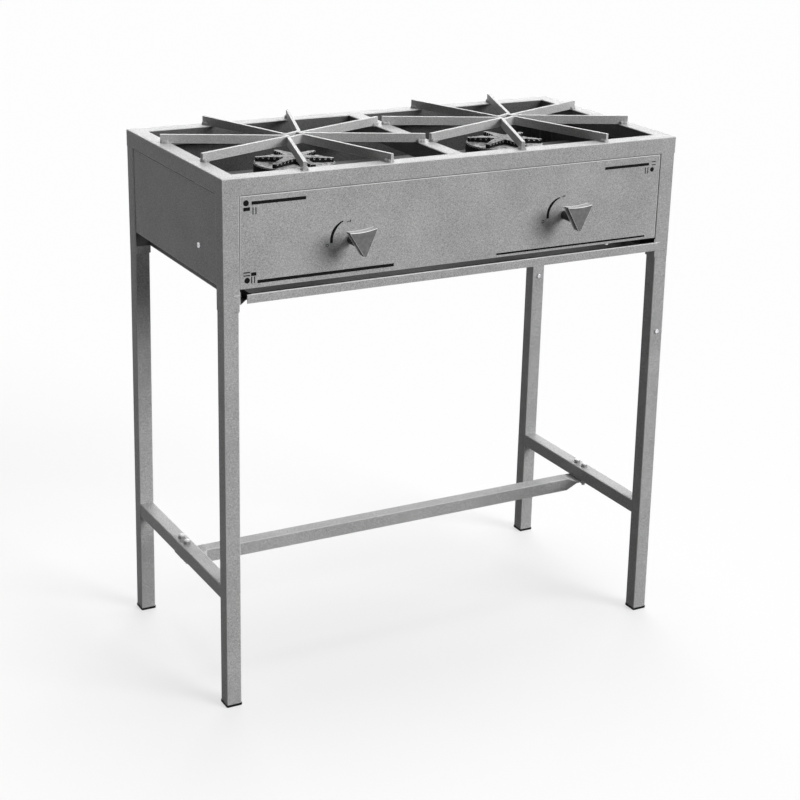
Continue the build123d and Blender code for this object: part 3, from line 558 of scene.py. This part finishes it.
# printed marks on the front panel, in millimetres
marks = {
    "ink": 0.12,
    "lift": 0.02,
    "corner": 0.3,
    "merge": 0.01,
    "arcSteps": 36,
    "swell": 2.2,     # an arc is full after 1 / 2.2 of its length
    # centre x, centre z, width, height on the panel
    "bars": [(-291.5, 763.5, 82, 4.6), (-339.7, 755.6, 9.8, 5.0),
             (-330.4, 752.4, 1.5, 10.0), (-326.0, 752.4, 1.5, 10.0),
             (-217.4, 651.7, 214, 4.6), (-329.9, 663.2, 8.0, 5.0),
             (-333.0, 655.0, 1.5, 9.6), (-328.6, 655.0, 1.5, 9.6),
             (-340.4, 666.2, 9.8, 1.5), (-340.4, 661.9, 9.8, 1.5),
             (289.0, 761.0, 81, 4.2), (338.2, 763.9, 7.4, 1.4), (338.2, 759.4, 7.4, 1.4),
             (323.4, 751.4, 1.4, 9.6), (328.0, 751.4, 1.4, 9.6),
             (196.0, 648.0, 268, 2.8),
             (-186.2, 722.6, 1.3, 1.4), (-183.8, 723.1, 1.3, 2.4), (-181.4, 723.6, 1.3, 3.4),
             (173.4, 724.6, 1.3, 1.4), (175.8, 725.1, 1.3, 2.4), (178.2, 725.6, 1.3, 3.4)],
    # centre x, centre z, diameter
    "dots": [(-340.7, 764.0, 8.4), (-339.8, 654.9, 8.2), (335.7, 752.2, 7.0)],
    # centre x, centre z, radius, thickest, first and last angle from +x, thinning
    "arcs": [(-181.6, 697.5, 29.2, 4.4, 112, 186, 0.65),
             (176.6, 697.5, 27.2, 4.4, 104, 188, 0.65),
             (-217.5, 691.5, 1.9, 0.9, 0, 360, 0), (141.5, 689.8, 1.9, 0.9, 0, 360, 0)],
}
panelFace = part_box("front_panel")[0].y - marks["lift"] * mm


def markBar(x, z, width, height):
    bpy.ops.mesh.primitive_plane_add(size=1, location=(x * mm, panelFace, z * mm),
                                     rotation=(radians(90), 0, 0))
    bpy.context.object.scale = (width * mm, height * mm, 1)
    bar = fixPlace()
    editWhole(lambda: bpy.ops.mesh.bevel(offset=marks["corner"] * mm, segments=3,
                                         affect="VERTICES"))
    return bar


def markDot(x, z, diameter):
    bpy.ops.mesh.primitive_circle_add(vertices=40, radius=diameter / 2 * mm, fill_type="NGON",
                                      location=(x * mm, panelFace, z * mm),
                                      rotation=(radians(90), 0, 0))
    return fixPlace()


def markArc(x, z, radius, thick, first, last, thinning):
    # a band along the arc, thinner towards its upper end, or an even ring
    steps = marks["arcSteps"]
    points = []
    for step in range(steps + 1):
        share = step / steps
        turn = radians(first + (last - first) * share)
        half = thick / 2 * (1 - thinning * (1 - min(1, marks["swell"] * share)))
        for r in (radius + half, radius - half):
            points.append(((x + r * cos(turn)) * mm, panelFace, (z + r * sin(turn)) * mm))
    faces = [(2 * i, 2 * i + 1, 2 * i + 3, 2 * i + 2) for i in range(steps)]
    return bareMesh("arc", points, faces)


joinPieces([markBar(*bar) for bar in marks["bars"]] + [markDot(*dot) for dot in marks["dots"]]
           + [markArc(*arc) for arc in marks["arcs"]])
editWhole(lambda: bpy.ops.mesh.remove_doubles(threshold=marks["merge"] * mm))
applyModifier("SOLIDIFY", thickness=marks["ink"] * mm, offset=1)
settle("panelMarks", ink)
print("panel marks")

# cross recessed screws, in millimetres
screws = {
    "headRadius": 4.25,
    "headHeight": 2.6,
    "sunk": 1.4,           # lower part of the head, inside the tube
    "round": 1.15,
    "slotLength": 5.0,
    "slotWidth": 1.1,
    "slotDepth": 1.3,
    "slotRound": 0.15,
    "slotClear": 1,        # how far the cutter stands above the head
    "shankRadius": 2.0,
    "shankLength": 9.0,
    "wide": 3,             # points further than this from the axis belong to the head
    "small": 0.8,          # size of a leg's screw beside the panel's
    "foldPlace": (262, -178.3),
}


def addBox(size, place, bevel):
    bpy.ops.mesh.primitive_cube_add(size=1, location=[c * mm for c in place])
    bpy.context.object.scale = [c * mm for c in size]
    box = fixPlace()
    applyModifier("BEVEL", width=bevel * mm, segments=3)
    return box


def modelScrew():
    # pan head with a cross recess, pointing up, its seat at height 0
    depth = screws["headHeight"] + screws["sunk"]
    middle = screws["headHeight"] - depth / 2
    bpy.ops.mesh.primitive_cylinder_add(vertices=48, radius=screws["headRadius"] * mm,
                                        depth=depth * mm, location=(0, 0, middle * mm))
    head = fixPlace()
    applyModifier("BEVEL", width=screws["round"] * mm, segments=5, limit_method="ANGLE")
    clear = screws["slotClear"]
    top = screws["headHeight"] - screws["slotDepth"] / 2 + clear / 2
    for size in [(screws["slotLength"], screws["slotWidth"], screws["slotDepth"] + clear),
                 (screws["slotWidth"], screws["slotLength"], screws["slotDepth"] + clear)]:
        slot = addBox(size, (0, 0, top), screws["slotRound"])
        bpy.context.view_layer.objects.active = head
        applyModifier("BOOLEAN", object=slot, operation="DIFFERENCE", solver="EXACT")
        bpy.data.objects.remove(slot)
    bpy.ops.mesh.primitive_cylinder_add(
        vertices=24, radius=screws["shankRadius"] * mm, depth=screws["shankLength"] * mm,
        location=(0, 0, -screws["shankLength"] / 2 * mm))
    joinPieces([head, fixPlace()])
    return bpy.context.object


def placeCopy(master, place, axis, size=1.0):
    copy = master.copy()
    copy.data = master.data.copy()
    bpy.context.collection.objects.link(copy)
    turn = Vector(axis).to_track_quat("Z", "Y").to_matrix().to_4x4()
    copy.data.transform(Matrix.Translation(Vector(place)) @ turn @ Matrix.Scale(size, 4))
    return copy


def solidsOf(name):
    # the points of each separate solid of a node
    points = [tuple(round(c, 5) for c in vertex.co) for vertex in nodes[name].data.vertices]
    group = {point: point for point in points}

    def root(point):
        while group[point] != point:
            group[point] = group[group[point]]
            point = group[point]
        return point

    for edge in nodes[name].data.edges:
        a, b = edge.vertices
        group[root(points[a])] = root(points[b])
    solids = {}
    for point in group:
        solids.setdefault(root(point), []).append(Vector(point))
    return list(solids.values())


def headSeat(points):
    # where the wide end of a screw sits, and the way that it faces
    low = Vector([min(p[i] for p in points) for i in range(3)])
    high = Vector([max(p[i] for p in points) for i in range(3)])
    span = high - low
    along = max(range(3), key=lambda i: span[i])
    middle = (low + high) / 2
    wide = [p for p in points if hypot(*[p[i] - middle[i] for i in range(3) if i != along])
            > screws["wide"] * mm]
    axis = Vector((0, 0, 0))
    axis[along] = 1 if sum(p[along] for p in wide) / len(wide) > middle[along] else -1
    end = high if axis[along] > 0 else low
    middle[along] = end[along] - axis[along] * screws["headHeight"] * mm
    return middle, axis


masterScrew = modelScrew()
joinPieces([placeCopy(masterScrew, *headSeat(points), screws["small"])
            for points in solidsOf("leg_screws")])
legPiece = settle("legScrews", zinc)
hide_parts("leg_screws")
joinPieces([placeCopy(masterScrew, *headSeat(points)) for points in solidsOf("panel_screw")])
sidePiece = settle("sidePanelScrew", zinc)
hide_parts("panel_screw")
# the one screw seen in the gap above the drip tray holds the panel's lower fold
foldX, foldY = screws["foldPlace"]
joinPieces([placeCopy(masterScrew, (foldX * mm, foldY * mm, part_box("front_panel")[0].z),
                      (0, 0, -1), screws["small"])])
settle("panelFoldScrew", zinc)
bpy.data.objects.remove(masterScrew)
print("screws")

# skirt behind each knob's wedge, in millimetres
knobSkirt = {
    "wedge": 10.8,         # depth of the wedge in the solid
    "groove": 0.5,
    "grooveShare": 0.94,   # size of the groove's floor beside the wedge's outline
    "thick": 2.9,
    "edge": 0.6,
    "lap": 0.2,
    "hubClear": 7.0,       # points nearer to the axis belong to the hub
    "near": 0.05,          # points this near to the back face lie on it
    "sharp": 50,           # degrees; only edges sharper than this are rounded
}


def knobOutline(name, axis):
    # the outline of a knob's back face, in order round its axis
    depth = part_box(name)[0].y + knobSkirt["wedge"] * mm
    spots = {(round(v.co.x - axis.x, 6), round(v.co.z - axis.z, 6))
             for v in nodes[name].data.vertices
             if abs(v.co.y - depth) < knobSkirt["near"] * mm}
    spots = [s for s in spots if hypot(*s) > knobSkirt["hubClear"] * mm]
    return depth, sorted(spots, key=lambda s: atan2(s[1], s[0]))


def addPlate(outline, axis, share, first, last, edge=0):
    # a flat plate of an outline, from one depth to the next
    bpy.ops.object.select_all(action="DESELECT")
    plate = bareMesh("plate", [(axis.x + share * x, first, axis.z + share * z)
                               for x, z in outline], [range(len(outline))])
    plate.select_set(True)
    bpy.context.view_layer.objects.active = plate
    editWhole(lambda: bpy.ops.mesh.extrude_region_move(
        TRANSFORM_OT_translate={"value": (0, last - first, 0)}), turnOutwards)
    if edge:
        applyModifier("BEVEL", width=edge * mm, segments=3, limit_method="ANGLE",
                      angle_limit=radians(knobSkirt["sharp"]))
    return plate


for side in ("left", "right"):
    knob = "knob_" + side
    axis = next(Vector(j["pos_m"]) for j in frame["record"]["behaviour"]["joints"]
                if j["child"] == knob)
    back, outline = knobOutline(knob, axis)
    start = back + knobSkirt["groove"] * mm
    lap = knobSkirt["lap"] * mm
    joinPieces([addPlate(outline, axis, knobSkirt["grooveShare"], back - lap, start + lap),
                addPlate(outline, axis, 1.0, start, start + knobSkirt["thick"] * mm,
                         knobSkirt["edge"])])
    settle("knobSkirt" + side.capitalize(), knobCasting, knob)
    print("knob skirt", side, len(outline))

# crowns and threads of the cross bar's bolts, in millimetres
bolts = {
    "domeRadius": 5.2,
    "domeRise": 3.0,
    "threadRadius": 3.0,
    "threadRise": 0.35,
    "threadStart": 0.4,    # above the tail's end
    "pitch": 1.0,
    "turns": 3,
    "threadSteps": 24,
}


def boltDome(x, y, z):
    # turned crown of a forged hexagon head
    bpy.ops.mesh.primitive_uv_sphere_add(segments=36, ring_count=16,
                                         radius=bolts["domeRadius"] * mm, location=(x, y, z))
    bpy.context.object.scale = (1, 1, bolts["domeRise"] / bolts["domeRadius"])
    return fixPlace()


def boltThread(x, y, z):
    # a ridge wound up the tail below the nut
    bpy.ops.mesh.primitive_circle_add(
        vertices=3, radius=bolts["threadRise"] * mm,
        location=(bolts["threadRadius"] * mm, 0, 0), rotation=(radians(90), 0, 0))
    ridge = fixPlace()
    applyModifier("SCREW", axis="Z", screw_offset=bolts["pitch"] * mm,
                  iterations=bolts["turns"], steps=bolts["threadSteps"],
                  render_steps=bolts["threadSteps"])
    editWhole(lambda: bpy.ops.mesh.fill_holes(sides=3))
    ridge.data.transform(Matrix.Translation((x, y, z)))
    return ridge


domes = []
threads = []
for points in solidsOf("crossbar_bolts"):
    x = (min(p.x for p in points) + max(p.x for p in points)) / 2
    y = (min(p.y for p in points) + max(p.y for p in points)) / 2
    domes.append(boltDome(x, y, max(p.z for p in points)))
    threads.append(boltThread(x, y, min(p.z for p in points) + bolts["threadStart"] * mm))
joinPieces(domes)
settle("boltCrowns", boltZinc)
joinPieces(threads)
settle("boltThreads", boltZinc)
print("bolts")

# weld beads of the pot supports, in millimetres
welds = {
    "railTop": 800.0,
    "lift": 1.0,
    "puddles": 4,              # on each side of a bar's foot
    "pitch": 2.2,
    # least size, and how much a wave adds, so that no two puddles are alike
    "beside": (2.4, 0.3),
    "radius": (2.8, 0.4),
    "height": (3.6, 0.5),
    "wave": 2.3,
    # x, y, angle along the bar
    "feet": [(-247.9, -172.0, 72.7), (-115.8, -172.0, 108.5), (-359.6, 68.4, 335.9),
             (-353.4, -70.7, 21.4), (-112.9, 172.1, 250.8), (-250.8, 172.0, 288.5),
             (-7.0, -68.4, 155.9), (-13.2, 70.7, 201.4), (105.9, -172.1, 68.7),
             (250.1, -172.0, 108.5), (6.3, 68.4, 335.9), (12.5, -70.7, 21.4),
             (256.4, 172.1, 249.7), (115.1, 172.0, 288.5), (358.9, -68.4, 155.9),
             (352.7, 70.7, 201.4)],
    # x, y and radius of the welds where the bars meet
    "spots": [(-196.4, -13.0, 3.2), (-195.9, 1.6, 4.5), (-170.2, 13.0, 3.2),
              (-170.7, -1.6, 4.5), (169.5, -13.0, 3.2), (170.0, 1.6, 4.5),
              (195.7, 13.0, 3.2), (195.2, -1.6, 4.5)],
    "spotPlace": 811.0,        # height of their middles
    "spotSpread": (0.5, 0.3),  # added to the radius along x and y
    "spotRise": 1.3,
    "ripple": 4,
    "rippleDepth": 0.9,
}


def weldBlob(x, y, z, size):
    bpy.ops.mesh.primitive_ico_sphere_add(subdivisions=3, radius=1,
                                          location=(x * mm, y * mm, z * mm))
    bpy.context.object.scale = [c * mm for c in size]
    return fixPlace()


def footBead(x, y, turn, number):
    # merging puddles laid on both sides of the bar, over the bead of the solid model
    along = Vector((cos(radians(turn)), sin(radians(turn))))
    across = Vector((-along.y, along.x))
    middle = (welds["puddles"] - 1) / 2
    blobs = []
    for side in (-1, 1):
        for step in range(welds["puddles"]):
            wave = 0.5 + 0.5 * sin(welds["wave"] * (number + 1) * (step + 1) + side)
            beside, radius, height = (least + more * wave for least, more in
                                      (welds["beside"], welds["radius"], welds["height"]))
            spot = (Vector((x, y)) + along * (step - middle) * welds["pitch"]
                    + across * side * beside)
            blobs.append(weldBlob(spot.x, spot.y, welds["railTop"] + welds["lift"],
                                  (radius, radius, height)))
    return blobs


blobs = []
for number, foot in enumerate(welds["feet"]):
    blobs += footBead(*foot, number)
spreadX, spreadY = welds["spotSpread"]
for x, y, radius in welds["spots"]:
    blobs.append(weldBlob(x, y, welds["spotPlace"],
                          (radius + spreadX, radius + spreadY, welds["spotRise"])))
joinPieces(blobs)
ripple = bpy.data.textures.new("weldRipple", "CLOUDS")
ripple.noise_scale = welds["ripple"] * mm
applyModifier("DISPLACE", texture=ripple, texture_coords="GLOBAL",
              strength=welds["rippleDepth"] * mm)
settle("supportWelds", weldPaint, smooth=60)
print("weld beads")
